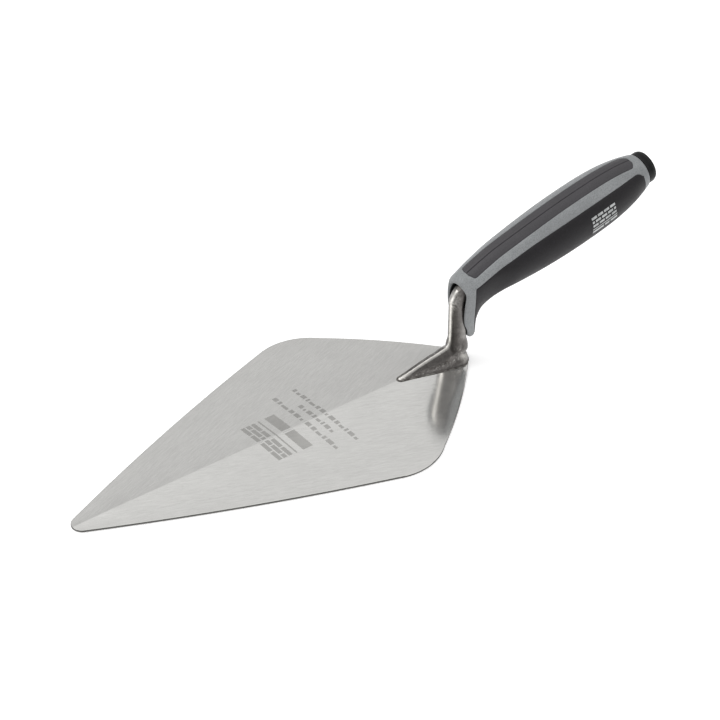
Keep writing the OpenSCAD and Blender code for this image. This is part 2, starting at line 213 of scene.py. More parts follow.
def blade_outline():
    """Half outline from the tip round to the heel corner, spaced closely."""
    gap = np.array([SHOULDER_X - (TIP_X + TIP_RADIUS), SHOULDER_Y])
    edge_normal = math.atan2(gap[1], gap[0]) + math.acos((TIP_RADIUS - SHOULDER_RADIUS) / np.hypot(*gap))
    d = np.array([SHOULDER_X - HEEL_X, SHOULDER_Y - HEEL_HALF])
    heel_normal = math.atan2(d[1], d[0]) - math.asin(SHOULDER_RADIUS / np.hypot(*d)) - math.pi / 2

    def arc(cx, cy, r, *a):
        a = np.linspace(*a) if len(a) > 1 else np.array(a)
        return np.stack([cx + r * np.cos(a), cy + r * np.sin(a)], 1)

    def tip_arc(*a):
        return arc(TIP_X + TIP_RADIUS, 0, TIP_RADIUS, *a)

    def shoulder_arc(*a):
        return arc(SHOULDER_X, SHOULDER_Y, SHOULDER_RADIUS, *a)

    def bowed(a, b, normal, bow, t):
        t = t[:, None]
        return a + (b - a) * t + np.array([math.cos(normal), math.sin(normal)]) * bow * 4 * t * (1 - t)

    tip = tip_arc(math.pi, edge_normal, 18)[:-1]
    edge = bowed(tip_arc(edge_normal)[0], shoulder_arc(edge_normal)[0], edge_normal, LONG_BOW,
                 np.linspace(0, 1, 90)[:-1])
    shoulder = shoulder_arc(edge_normal, heel_normal, 46)[:-1]
    heel = bowed(shoulder_arc(heel_normal)[0], np.array([HEEL_X, HEEL_HALF]), heel_normal, HEEL_BOW,
                 np.linspace(0, 1, 50))
    return np.concatenate([tip, edge, shoulder, heel])


OUTLINE = blade_outline()


def half_width_at(x):
    return np.interp(x, OUTLINE[:, 0], OUTLINE[:, 1])


def blade_top(x, y):
    """Height of the blade's upper face: a soft centre crease that falls in a shallow hollow to the rim."""
    width = np.maximum(half_width_at(x), 2.0)
    soft = 0.35
    share = np.clip((np.sqrt(np.asarray(y, float) ** 2 + soft ** 2) - soft) / width, 0, 1)
    crease = CREASE_TIP + (CREASE_HEEL - CREASE_TIP) * (x - TIP_X) / BLADE_LENGTH
    return RIM + (crease - RIM) * np.clip(width / 14, 0, 1) * (1 - share) ** 2.6


def build_blade():
    rows = OUTLINE[1:]
    near_rim = np.array([0.0, 0.10, 0.24, 0.45, 0.8])
    drop = np.array([0.38, 0.17, 0.05, 0.01, 0.0])
    shares = np.concatenate([np.linspace(0.0, 0.06, 7), np.linspace(0.06, 1, 26)[1:]])[::-1]
    top, under = [], []
    for x, half in rows:
        inner = max(half - 1.2, half * 0.5)
        y = np.concatenate([half - near_rim * (half - inner) / 1.2, inner * shares])
        z = blade_top(x, y)
        z[:5] -= drop
        y = np.concatenate([y, -y[-2::-1]])
        z = np.concatenate([z, z[-2::-1]])
        top.append(np.stack([np.full_like(y, x), y, z], 1))
        low = np.zeros_like(y)
        low[[0, -1]], low[[1, -2]], low[[2, -3]] = 0.22, 0.09, 0.02
        under.append(np.stack([np.full_like(y, x), y, low], 1))
    n, m = len(rows), len(top[0])
    points = np.concatenate([np.concatenate(top), np.concatenate(under)])
    size = n * m
    faces = [grid_faces(n, m), grid_faces(n, m, start=size)[:, ::-1]]
    i = np.arange(n - 1) * m
    for col, turn in ((0, False), (m - 1, True)):
        strip = np.stack([i + col, i + m + col, i + m + col + size, i + col + size], 1)
        faces.append(strip[:, ::-1] if turn else strip)
    j = (n - 1) * m + np.arange(m - 1)
    faces.append(np.stack([j, j + 1, j + 1 + size, j + size], 1)[:, ::-1])
    tip = np.array([[TIP_X, 0, 1.25], [TIP_X, 0, 0.2]])
    points = np.concatenate([points, tip])
    quads = np.concatenate(faces)
    j = np.arange(m - 1)
    t = 2 * size
    tris = np.concatenate([
        np.stack([np.full(m - 1, t), j + 1, j], 1),
        np.stack([np.full(m - 1, t + 1), j + size, j + 1 + size], 1),
        np.array([[t, 0, size], [t, size, t + 1], [t, m - 1 + size, m - 1], [t, t + 1, m - 1 + size]])])
    return points, [tuple(f) for f in quads] + [tuple(f) for f in tris]


# ------------------------------
# shank: foot, neck and bend from one blended field, then the straight tang

NECK_LEAN = math.radians(7.5)
NECK_BASE = np.array([HEEL_X - 7.4, 14.0])
NECK_DIR = np.array([-math.sin(NECK_LEAN), math.cos(NECK_LEAN)])
BEND_RADIUS = 10.0
BEND_ANGLE = math.pi / 2 + NECK_LEAN - HANDLE_SLOPE


def cross2(a, b):
    return a[0] * b[1] - a[1] * b[0]


_corner = NECK_BASE + NECK_DIR * (cross2(AXIS_ORIGIN - NECK_BASE, AXIS_DIR) / cross2(NECK_DIR, AXIS_DIR))
_tangent = BEND_RADIUS * math.tan(BEND_ANGLE / 2)
BEND_START, BEND_END = _corner - NECK_DIR * _tangent, _corner + AXIS_DIR * _tangent
BEND_CENTRE = BEND_START + np.array([math.cos(NECK_LEAN), math.sin(NECK_LEAN)]) * BEND_RADIUS
NECK_HEIGHT = float(np.hypot(*(BEND_START - NECK_BASE)))
BEND_LENGTH = BEND_RADIUS * BEND_ANGLE
BEND_END_S = float((BEND_END - AXIS_ORIGIN) @ AXIS_DIR)


def path_at(h):
    """Point of the neck line at length h above its foot, and the direction away from the guard."""
    h = np.asarray(h, float)[..., None]
    front0 = np.array([-math.cos(NECK_LEAN), -math.sin(NECK_LEAN)])
    angle = np.clip((h - NECK_HEIGHT) / BEND_RADIUS, 0, BEND_ANGLE)
    c, s = np.cos(-angle), np.sin(-angle)
    front = np.concatenate([front0[0] * c - front0[1] * s, front0[0] * s + front0[1] * c], -1)
    straight = NECK_BASE + NECK_DIR * h
    arc = BEND_CENTRE + front * BEND_RADIUS
    beyond = BEND_END + AXIS_DIR * (h - NECK_HEIGHT - BEND_LENGTH)
    at = np.where(h < NECK_HEIGHT, straight, np.where(h < NECK_HEIGHT + BEND_LENGTH, arc, beyond))
    return at, front


def path_place(p):
    """Length along the neck line, distance from it and angle round it for points (x, y, z)."""
    q = np.stack([p[..., 0], p[..., 2]], -1)
    h_low = np.clip((q - NECK_BASE) @ NECK_DIR, -40, NECK_HEIGHT)
    low = q - (NECK_BASE + NECK_DIR * h_low[..., None])
    rel = q - BEND_CENTRE
    start = math.atan2(-math.sin(NECK_LEAN), -math.cos(NECK_LEAN))
    turn = (start - np.arctan2(rel[..., 1], rel[..., 0])) % (2 * math.pi)
    turn = np.where(turn > math.pi + BEND_ANGLE / 2, turn - 2 * math.pi, turn)
    turn = np.clip(turn, 0, BEND_ANGLE)
    h_arc = NECK_HEIGHT + BEND_RADIUS * turn
    arc = q - path_at(h_arc)[0]
    far = np.maximum((q - BEND_END) @ AXIS_DIR, 0)
    high = q - (BEND_END + AXIS_DIR * far[..., None])
    h_high = NECK_HEIGHT + BEND_LENGTH + far
    d = np.stack([(low ** 2).sum(-1), (arc ** 2).sum(-1), (high ** 2).sum(-1)], -1)
    pick = d.argmin(-1)
    h = np.choose(pick, [h_low, h_arc, h_high])
    flat = np.sqrt(np.take_along_axis(d, pick[..., None], -1)[..., 0])
    at, front = path_at(h)
    ahead = ((q - at) * front).sum(-1)
    return h, np.hypot(flat, p[..., 1]), np.arctan2(np.abs(p[..., 1]), ahead)


FOOT_TIP = HEEL_X - 51.0
FOOT_BASE = 1.0


# Both foot tables: points picked in the photo, turned into mm by a program and rounded.
def foot_half_width(x):
    from_heel = np.array([51.8, 51.2, 50.0, 43.7, 34.7, 28.7, 20.7, 13.5, 8.5, 5.0, 2.0, 0.2])
    return np.interp(x, HEEL_X - from_heel,
                     [0.0, 1.0, 1.7, 2.9, 4.9, 6.3, 7.8, 9.0, 9.35, 8.6, 6.2, 3.4])


def foot_ridge(x):
    from_heel = np.array([51.8, 50.7, 41.7, 36.7, 29.7, 22.7, 17.7, 13.1, 8.0, 4.0, 2.0, 0.4])
    return np.interp(x, HEEL_X - from_heel,
                     [2.6, 3.7, 6.0, 7.4, 9.0, 10.4, 11.5, 12.9, 12.4, 10.6, 8.8, 6.2])


def foot_field(p):
    x, y, z = p[..., 0], p[..., 1], p[..., 2]
    soft = 0.22
    w, h = foot_half_width(x), foot_ridge(x)
    t = (np.sqrt(y * y + soft * soft) - soft) / np.maximum(w, 0.6)
    bulge = ease((x - (HEEL_X - 20)) / 14)
    blade_end = 1 - ease((x - FOOT_TIP - 1) / 15)
    rib = 1 - t * (1.55 - 0.40 * blade_end)
    level = 0.40 + 0.42 * blade_end + 0.24 * bulge
    skirt = level * np.sqrt(np.clip(1 - t ** 3, 0, 1)) - np.clip(t - 1, 0, None) * 2.5
    shape = -smooth_min(-np.maximum(rib, -3.0), -skirt, 0.07)
    top = 1.4 + (h - 1.4) * shape
    slope = (h - 1.4) / np.maximum(w, 1.2)
    f = (z - top) / np.sqrt(1 + slope * slope)
    ends = np.maximum((HEEL_X - 51.6) - x, x - (HEEL_X - 0.15))
    return np.maximum(f, ends)


def neck_radius(h):
    return 5.55 - 0.30 * np.clip(h / NECK_HEIGHT, 0, 1) + 1.1 * (1 - ease((h + 3) / 7.5))


def shank_field(p):
    h, d, _ = path_place(p)
    s = BEND_END_S + h - NECK_HEIGHT - BEND_LENGTH
    radius = np.where(s > CORE_START, 4.0, neck_radius(h))
    neck = np.maximum(d - radius, -5.0 - h)
    neck = np.maximum(neck, s - 4.0)
    f = smooth_min(foot_field(p), neck, 2.2)
    rough = ease((34 - h) / 30) * 0.75 + 0.25
    f = f + rough * (0.07 * noise(p, 2.6, 3) + 0.05 * noise(p, 1.2, 5)) * (s < CORE_START - 1)
    return np.maximum(f, FOOT_BASE - p[..., 2])


def lathe(profile, steps=64):
    """Points and faces of a closed solid of revolution about the handle axis; profile is (s, r) pairs."""
    profile = np.asarray(profile, float)
    ring = np.arange(steps) / steps * 2 * math.pi
    inner = profile[1:-1]
    c = AXIS_ORIGIN + inner[:, :1] * AXIS_DIR
    out = c[:, None, :] + inner[:, None, 1:2] * np.cos(ring)[None, :, None] * AXIS_UP
    side = inner[:, 1:2] * np.sin(ring)[None, :]
    points = np.stack([out[..., 0], -side, out[..., 1]], -1).reshape(-1, 3)
    ends = [AXIS_ORIGIN + AXIS_DIR * profile[k][0] for k in (0, -1)]
    points = np.concatenate([points, [[e[0], 0, e[1]] for e in ends]])
    rows = len(inner)
    faces = [tuple(f) for f in grid_faces(rows, steps, wrap_cols=True)]
    j = np.arange(steps)
    k = (j + 1) % steps
    first, last = rows * steps, rows * steps + 1
    faces += [(first, b, a) for a, b in zip(j, k)]
    faces += [(last, a + (rows - 1) * steps, b + (rows - 1) * steps) for a, b in zip(j, k)]
    return points, faces


# ------------------------------
# handle surface

# Hood stations: top X from the heel, top Z, bottom X from the heel, bottom Z, top radius, bottom
# radius, bow. The three bottom columns are a program's least-squares fit to the photo, then nudged.
HOOD = np.array([
    [-14.4, 57.9, -2.0, 17.1, 10.1, 4.3, 3.4],
    [-12.4, 61.2, 0.9, 14.5, 10.9, 4.4, 2.3],
    [-8.7, 63.4, 3.3, 16.2, 11.4, 4.4, 1.4],
    [-4.4, 65.7, 2.2, 25.4, 11.9, 4.6, 0.7],
    [0.6, 68.3, 3.4, 34.4, 12.4, 6.2, 0.3],
    [5.9, 70.8, 8.2, 40.3, 13.0, 9.3, 0.1],
    [11.0, 73.1, 15.2, 44.1, 13.8, 12.7, 0.0]])
HOOD = HOOD + np.array([HEEL_X, 0, HEEL_X, 0, 0, 0, 0])


def barrel_radius(s):
    s = np.asarray(s, float)
    front = 17.75 - 3.9 * (np.clip(62 - s, 0, None) / 62) ** 1.75
    rear = 17.75 - 7.95 * (np.clip(s - 62, 0, None) / 61.6) ** 3.1
    return np.where(s < 62, front, rear)


def barrel_section(s):
    s = np.atleast_1d(np.asarray(s, float))
    lift = 0.9 * (np.clip(45 - s, 0, None) / 45) ** 2
    c = AXIS_ORIGIN + AXIS_DIR * s[:, None] + AXIS_UP * lift[:, None]
    r = barrel_radius(s)[:, None]
    return np.concatenate([c + AXIS_UP * r, c - AXIS_UP * r, r, r, 0 * r], 1)


KEYS = np.concatenate([HOOD, barrel_section([10, 16, 22])])
KEYS = np.concatenate([[2 * KEYS[0] - KEYS[1]], KEYS])


def section_at(u):
    """Section rows (top X, Z, bottom X, Z, top radius, bottom radius, bow) at stations u."""
    u = np.asarray(u, float)
    flat = u.ravel()
    k = np.clip(np.floor(flat).astype(int), 0, 6)
    t = (flat - k)[:, None]
    a, b, c, d = (KEYS[k + n] for n in range(4))
    hood = 0.5 * (2 * b + (c - a) * t + (2 * a - 5 * b + 4 * c - d) * t * t
                  + (3 * b - a - 3 * c + d) * t ** 3)
    barrel = barrel_section(10 + (np.maximum(flat, 7) - 7) * 10)
    return np.where((flat < 7)[:, None], hood, barrel).reshape(u.shape + (7,))


def skin(u, v):
    """Point of the handle's outer surface; v is degrees from the top, positive on the -Y side."""
    u, v = np.broadcast_arrays(np.asarray(u, float), np.asarray(v, float))
    s = section_at(u)
    top, bottom = s[..., 0:2], s[..., 2:4]
    up = (top - bottom) / np.linalg.norm(top - bottom, axis=-1, keepdims=True)
    ahead = np.stack([-up[..., 1], up[..., 0]], -1)
    w = ease((np.abs(v) - 55) / 70)[..., None]
    ct, cb = top - up * s[..., 4:5], bottom + up * s[..., 5:6]
    c = ct + (cb - ct) * w + ahead * s[..., 6:7] * 4 * w * (1 - w)
    r = s[..., 4:5] + (s[..., 5:6] - s[..., 4:5]) * w
    a = np.radians(v)[..., None]
    q = c + up * r * np.cos(a)
    return np.stack([q[..., 0], (-r * np.sin(a))[..., 0], q[..., 1]], -1)


def skin_normal(u, v):
    du = skin(u + 0.01, v) - skin(u - 0.01, v)
    dv = skin(u, v + 0.2) - skin(u, v - 0.2)
    n = np.cross(dv, du)
    n = n / np.maximum(np.linalg.norm(n, axis=-1, keepdims=True), 1e-9)
    return n


def skin_at(u, v, depth):
    return skin(u, v) - skin_normal(u, v) * np.asarray(depth, float)[..., None]


def mm_per_u(u, v):
    return np.linalg.norm(skin(u + 0.02, v) - skin(u - 0.02, v), axis=-1) / 0.04


def station(s):
    return 7 + (s - 10) / 10


PAD_END, LOW_END = station(114.4), station(115.0)
BUTT = station(HANDLE_END)
PAD_HALF = 6.4


def swing(v):
    return ease((np.abs(v) - 25) / 43)


def rounded(e, reach, least=0.4):
    t = np.clip(1 - np.asarray(e, float) / reach, 0, 1)
    return np.maximum(least, np.sqrt(1 - t ** 2.6))


def pad_angle(u0):
    half = np.degrees(np.arcsin(np.minimum(0.9, PAD_HALF / section_at(u0)[..., 4])))
    return half * rounded(np.maximum(0, u0 - 2.22), 0.85) * rounded(np.maximum(0, PAD_END - u0), 0.5)


def low_angle(u0):
    return 58.5 - 13.4 * ease((u0 - 3.5) / 6) + 22 * (1 - rounded(np.maximum(0, LOW_END - u0), 0.6))


# ---- rim of the neck opening ----
GAP_LOW, GAP_HIGH = 5.8, 7.1
DEEP_H = NECK_HEIGHT + BEND_LENGTH + (CORE_START + 0.3 - BEND_END_S)


def gap_radius(h):
    return GAP_LOW + (GAP_HIGH - GAP_LOW) * ease((h - 14) / (NECK_HEIGHT - 6))


def rim_station(v):
    """First station at which the skin at angle v clears the neck opening by a lip's width."""
    tries = np.linspace(0, 1.6, 161)
    p = skin(tries[None, :], np.abs(v)[:, None])
    h, d, _ = path_place(p)
    clear = d - gap_radius(h) > 0.45
    first = np.where(clear.any(1), clear.argmax(1), len(tries) - 1)
    u = tries[first]
    for _ in range(6):
        u = np.convolve(np.pad(u, 2, mode="edge"), [0.1, 0.2, 0.4, 0.2, 0.1], "valid")
    return u


RIM_V = np.linspace(0, 180, 181)
RIM_U = rim_station(RIM_V)


def rim_u(v):
    return np.interp(np.abs(v), RIM_V, RIM_U)


def lip_back(v):
    """How far behind the rim the skin starts to round over."""
    return 3.4 - 2.2 * ease((np.abs(v) - 30) / 60)


def boundary_u(b, v):
    """Station of the row boundaries: lip, pad front, lower grip front, pad end, lower grip end, butt."""
    v = np.asarray(v, float)
    lip = rim_u(v)
    lip = lip + lip_back(v) / mm_per_u(lip + 0.1, v)
    table = [lip, 2.22 - 0.72 * swing(v), 2.75 - 0.78 * swing(v),
             np.full_like(v, PAD_END), np.full_like(v, LOW_END), np.full_like(v, BUTT)]
    return table[b]


BIG = 99.0
EDGE_STEPS = (-1.0, -0.5, -0.22, -0.08, 0.0, 0.08, 0.22, 0.5, 1.0)


def row_list():
    """Rows as (boundary, offset mm or None, share to the next boundary)."""
    rows = [(0, 0.0, 0)]
    for b, count in enumerate((7, 4, 96, 1, 2)):
        rows += [(b, None, k / (count + 1)) for k in range(1, count + 1)]
        edge = EDGE_STEPS if b < 4 else (-0.9, -0.6, -0.35, -0.15, 0.0)
        rows += [(b + 1, d, 0) for d in edge]
    return rows


ROWS = row_list()


def row_stations(row, v):
    b, offset, share = row
    u = boundary_u(b, v)
    if offset is not None:
        return u + offset / mm_per_u(u, v)
    margin = 1.0
    u2 = boundary_u(b + 1, v)
    start = u + (0 if b == 0 else margin / mm_per_u(u, v))
    end = u2 - margin / mm_per_u(u2, v)
    return start + (end - start) * share


def row_depths(row):
    """Signed distance outside the top pad and the lower grip, along the handle."""
    b, offset, _ = row
    pad, low = (-BIG if b in (1, 2) else BIG), (-BIG if b in (2, 3) else BIG)
    if offset is not None:
        pad = {1: -offset, 3: offset}.get(b, pad)
        low = {2: -offset, 4: offset}.get(b, low)
    return pad, low


COL_EDGE = (-0.8, -0.4, -0.18, -0.07, 0.0, 0.07, 0.18, 0.4, 0.8)


def half_columns():
    """Columns from the top to the bottom as (stretch, millimetres from its edge or share along it)."""
    return ([("top", d) for d in (0.0, 0.22, 0.45, 0.8)] + [("padfield", k / 6) for k in range(1, 6)]
            + [("pad", d) for d in COL_EDGE] + [("band", k / 6) for k in range(1, 6)]
            + [("low", d) for d in COL_EDGE] + [("side", k / 44) for k in range(1, 44)]
            + [("bottom", 0.0)])


HALF_COLUMNS = half_columns()


def column_angles(row_u0):
    """Angle of every half column for a row whose top station is row_u0, and the columns' distances."""
    u0 = np.array(row_u0)
    pad, low = float(pad_angle(u0)), float(low_angle(u0))
    per = math.degrees(1 / float(section_at(u0)[4]))
    scale = min(1.0, pad / per / 4.2)
    spans = {"padfield": (0.8 * per * scale, pad - 0.8 * per * scale),
             "band": (pad + 0.8 * per, low - 0.8 * per), "side": (low + 0.8 * per, 180),
             "top": (0.0, per * scale), "low": (low, low + per), "bottom": (180.0, 180.0)}
    angles, pad_d, low_d = [], [], []
    for kind, x in HALF_COLUMNS:
        a, b = (pad, pad + per * (scale if x < 0 else 1)) if kind == "pad" else spans[kind]
        angles.append(a + (b - a) * x)
        pad_d.append(x if kind == "pad" else (-BIG if kind in ("top", "padfield") else BIG))
        low_d.append(-x if kind == "low" else (-BIG if kind in ("side", "bottom") else BIG))
    return np.array(angles), np.array(pad_d), np.array(low_d)


def handle_grid():
    """Stations, angles and distances from both grips for every row and every half column."""
    u, v, pad_d, low_d = (np.zeros((len(ROWS), len(HALF_COLUMNS))) for _ in range(4))
    for i, row in enumerate(ROWS):
        v[i], col_pad, col_low = column_angles(row_stations(row, np.array([0.0]))[0])
        u[i] = row_stations(row, v[i])
        row_pad, row_low = row_depths(row)
        pad_d[i] = np.maximum(row_pad, col_pad)
        low_d[i] = np.maximum(row_low, col_low)
    return u, v, pad_d, low_d


GRID_U, GRID_V, PAD_D, LOW_D = handle_grid()
POCKET = 1.3


def pocket_depth(u):
    return 0.9 + (POCKET - 0.9) * ease((u - 3.5) / 2.5)


def shell_depth(d, u):
    """How deep the shell lies at a signed distance outside a grip's outline."""
    edge = 0.26 * np.clip(1 - np.maximum(d, 0) / 0.42, 0, 1) ** 2
    return np.where(d < -0.03, pocket_depth(u), edge)


def build_shell():
    depth = np.maximum(shell_depth(PAD_D, GRID_U), shell_depth(LOW_D, GRID_U))
    end = {-0.9: 0.0, -0.6: 0.03, -0.35: 0.10, -0.15: 0.26, 0.0: 0.6}
    for i, (b, offset, _) in enumerate(ROWS):
        if b == 5:
            depth[i] += end[offset]
    near = skin_at(GRID_U, GRID_V, depth)
    rings = list(near)
    # butt face and bore, all at the angles of the last row
    v = np.radians(GRID_V[-1])

    def tube(s, r):
        c = AXIS_ORIGIN + AXIS_DIR * s
        q = c + AXIS_UP * (r * np.cos(v))[:, None]
        return np.stack([q[:, 0], -r * np.sin(v), q[:, 1]], 1)

    bore = CORE_RADIUS + 0.04
    rings += [tube(HANDLE_END, r) for r in (10.0, 9.2, bore)]
    rings += [tube(s, bore) for s in np.linspace(HANDLE_END - 1, CORE_START + 0.2, 14)]
    # wall of the neck opening, from the deep end out to the lip
    vv = GRID_V[0]
    lip_u = rim_u(vv)
    corner_point = skin(lip_u, vv)
    h0, _, phi0 = path_place(corner_point)
    phi0[0], phi0[-1] = 0.0, math.pi
    phi0 = np.maximum.accumulate(phi0)
    r0 = gap_radius(h0)
    along = np.gradient(phi0) * r0
    down = np.gradient(h0)
    size = np.maximum(np.hypot(along, down), 1e-6)
    inward = np.stack([-down / size, along / size], 1)
    inward[0], inward[-1] = (0, 1), (0, 1)
    furthest = math.pi - 0.004 * np.arange(len(vv))[::-1]

    def wall(phi, h):
        at, front = path_at(h)
        r = gap_radius(h)
        q = at + front * (r * np.cos(phi))[:, None]
        return np.stack([q[:, 0], -r * np.sin(phi), q[:, 1]], 1)

    def along_wall(t, reach):
        """Hermite line in the opening's own surface, from the lip (0) to the deep end (1)."""
        p0 = np.stack([phi0 * r0, h0], 1) + inward * reach
        p1 = np.stack([np.radians(vv) * GAP_HIGH, np.full_like(h0, DEEP_H)], 1)
        gap = np.linalg.norm(p1 - p0, axis=1, keepdims=True)
        m0, m1 = inward * gap * 0.6, np.array([[0.0, 1.0]]) * gap * 0.6
        a, b = 2 * t ** 3 - 3 * t * t + 1, t ** 3 - 2 * t * t + t
        q = p0 * a + m0 * b + p1 * (3 * t * t - 2 * t ** 3) + m1 * (t ** 3 - t * t)
        return wall(np.clip(q[:, 0] / gap_radius(q[:, 1]), 0, furthest), q[:, 1])

    reach = 1.1
    rings += [along_wall(t, reach) for t in np.linspace(1, 0, 16)[:-1]]
    inner = along_wall(0.0, reach)
    inner_control = wall(np.clip(phi0 + inward[:, 0] * 0.1 / r0, 0, math.pi), h0 + inward[:, 1] * 0.1)
    start = near[0]
    for t in np.linspace(0, 1, 13)[:-1]:
        a, b, c, d = (1 - t) ** 3, 3 * t * (1 - t) ** 2, 3 * t * t * (1 - t), t ** 3
        rings.append(inner * a + inner_control * b + corner_point * c + start * d)
    ring = np.stack(rings)
    far = ring[:, -2:0:-1] * np.array([1, -1, 1])
    full = np.concatenate([ring, far], 1)
    points = full.reshape(-1, 3)
    faces = grid_faces(full.shape[0], full.shape[1], wrap_rows=True, wrap_cols=True)
    return points, outward(points, faces)


def patch_solid(top, bottom):
    """Closed mesh between two grids of points of the same size, joined along their border."""
    n, m = top.shape[:2]
    size = n * m
    points = np.concatenate([top.reshape(-1, 3), bottom.reshape(-1, 3)])
    faces = [grid_faces(n, m), grid_faces(n, m, start=size)[:, ::-1]]
    k = np.arange(size).reshape(n, m)
    b = np.concatenate([k[0], k[1:, -1], k[-1, -2::-1], k[-2:0:-1, 0]])
    c = np.roll(b, -1)
    faces.append(np.stack([b, b + size, c + size, c], 1))
    return points, outward(points, np.concatenate(faces))


def grip_edge(d):
    """Depth of a grip's outer face at a signed distance inside its outline: a small round edge."""
    return 0.30 * np.clip(1 - np.clip(-d, 0, None) / 0.5, 0, 1) ** 2


def grip_grid(side, signed, wanted):
    """Stations, angles and signed distances of one grip's rows and columns; side picks its row depth."""
    rows = [i for i, row in enumerate(ROWS) if row_depths(row)[side] <= -0.05]
    cols = [j for j, (kind, x) in enumerate(HALF_COLUMNS) if wanted(kind, x)]
    return rows, cols, [grid[np.ix_(rows, cols)] for grid in (GRID_U, GRID_V, signed)]


def build_top_grip():
    rows, cols, (u, v, d) = grip_grid(0, PAD_D, lambda kind, x: kind in ("top", "padfield")
                                      or (kind == "pad" and x <= -0.05))
    row_pad = np.array([row_depths(ROWS[i])[0] for i in rows])
    depth = grip_edge(d) + 0.30 * ease((v / v.max(1, keepdims=True) - 0.4) / 0.6)
    groove = {0.0: 0.60, 0.22: 0.34, 0.45: 0.04}
    fade = ease((-row_pad) / 0.5)
    for c, j in enumerate(cols):
        kind, x = HALF_COLUMNS[j]
        if kind == "top" and x in groove:
            depth[:, c] = np.maximum(depth[:, c], groove[x] * fade)
    return mirrored_patch(u, v, depth)


def mirrored_patch(u, v, depth, wrap_bottom=False):
    """A closed grip from its near half: over the top, or round the bottom."""
    faces = [skin_at(u, v, depth), skin_at(u, v, pocket_depth(u) - 0.06)]
    flip = np.array([1, -1, 1])
    if wrap_bottom:
        return patch_solid(*(np.concatenate([p, p[:, -2::-1] * flip], 1) for p in faces))
    return patch_solid(*(np.concatenate([p[:, ::-1], p[:, 1:] * flip], 1) for p in faces))


def build_lower_grip():
    _, _, (u, v, d) = grip_grid(1, LOW_D, lambda kind, x: kind in ("side", "bottom")
                                or (kind == "low" and x >= 0.05))
    return mirrored_patch(u, v, grip_edge(d), wrap_bottom=True)


# ------------------------------
# weld bead, end cap and the marks


def plan_distance(x, y):
    """Distance in plan outside the foot's outline, negative inside."""
    xs = np.linspace(FOOT_TIP - 0.6, HEEL_X - 0.3, 90)
    w = foot_half_width(xs)
    y = np.abs(y)
    d2 = np.full(np.shape(x), 1e9)
    for k in range(len(xs) - 1):
        ax, ay, bx, by = xs[k], w[k], xs[k + 1], w[k + 1]
        t = np.clip(((x - ax) * (bx - ax) + (y - ay) * (by - ay)) / ((bx - ax) ** 2 + (by - ay) ** 2), 0, 1)
        d2 = np.minimum(d2, (x - ax - t * (bx - ax)) ** 2 + (y - ay - t * (by - ay)) ** 2)
    inside = (y < foot_half_width(x)) & (x > xs[0]) & (x < xs[-1])
    return np.sqrt(d2) * np.where(inside, -1, 1)


def bead_field(p):
    x, y, z = p[..., 0], p[..., 1], p[..., 2]
    d = plan_distance(x, y)
    surface = blade_top(x, y)
    ripple = 0.04 * np.sin(x * 2.3 + 1.7 * np.sin(y)) + 0.06 * noise(p, 2.2, 11)
    f = np.hypot(d - 0.05, (z - surface - 0.05) * 1.25) - (0.72 + ripple)
    f = np.maximum(f, surface - 0.35 - z)
    f = np.maximum(f, -0.75 - d)
    return np.maximum(f, x - (HEEL_X - 0.05))


def build_cap():
    end = HANDLE_END + CAP_LENGTH
    profile = [(114.8, 0), (114.8, 6.6), (115.1, 6.9)]
    profile += [(HANDLE_END + s, r) for s, r in (
        (-0.1, 6.9), (0.03, 7.1), (0.03, 9.55), (0.12, 9.75), (0.5, 9.82), (0.62, 9.95), (0.66, 10.15),
        (0.8, 10.26), (1.1, 10.30), (2.0, 10.30), (3.0, 10.30), (4.0, 10.30))]
    profile += [(end - s, r) for s, r in ((1.9, 10.28), (1.75, 10.2), (1.68, 10.05), (1.55, 9.98))]
    rim = 1.35
    for k in range(9):
        a = k / 8 * math.pi / 2
        profile.append((end - rim + rim * math.sin(a) - 0.02, 9.95 - rim + rim * math.cos(a)))
    profile += [(end - s, r) for s, r in (
        (0.02, 7.4), (0.05, 7.1), (0.30, 6.9), (0.36, 6.6), (0.30, 6.3), (0.05, 6.1), (0.02, 5.8),
        (0.01, 3.0), (0.01, 0))]
    return lathe(profile, 96)


def build_tang():
    start = CORE_START + 7.0
    profile = [(start, 0), (start, 3.4), (start + 0.5, 3.96)]
    profile += [(s, 3.96) for s in np.linspace(10, 104, 12)]
    profile += [(105.2, 3.96), (105.5, 3.7), (105.5, 2.98)]
    s, pitch = 106.0, 1.0
    while s < 112.8:
        profile += [(s, 2.98), (s + pitch * 0.5, 2.55)]
        s += pitch
    profile += [(113.0, 2.9), (113.6, 2.3), (113.6, 0)]
    return lathe(profile, 40)


def bricks(rows, columns, height, length, joint):
    """Rectangles (low a, low b, high a, high b) of a running-bond panel centred on zero."""
    out = []
    total = columns * length
    for r in range(rows):
        low = (r - rows / 2) * height
        shift = 0.5 * length if r % 2 else 0.0
        for c in range(columns + 1):
            b0, b1 = c * length - shift - total / 2, (c + 1) * length - shift - total / 2
            b0, b1 = max(b0, -total / 2), min(b1, total / 2)
            if b1 - b0 > joint * 2:
                out.append((low + joint / 2, b0 + joint / 2, low + height - joint / 2, b1 - joint / 2))
    return out


def slabs(rects, place, step):
    """Thin closed plates for rectangles in (a, b); place(a, b, level) gives their points."""
    points, faces, start = [], [], 0
    for a0, b0, a1, b1 in rects:
        n = max(2, int(math.ceil((a1 - a0) / step)) + 1)
        m = max(2, int(math.ceil((b1 - b0) / step)) + 1)
        a, b = np.meshgrid(np.linspace(a0, a1, n), np.linspace(b0, b1, m), indexing="ij")
        p, f = patch_solid(place(a, b, 1.0), place(a, b, 0.0))
        points.append(p)
        faces.append(f + start)
        start += len(p)
    return np.concatenate(points), np.concatenate(faces)


def on_blade(a, b, level):
    a = a - 0.07 * b
    return np.stack([a, b, blade_top(a, b) + 0.012 + (level - 1) * 0.05], -1)


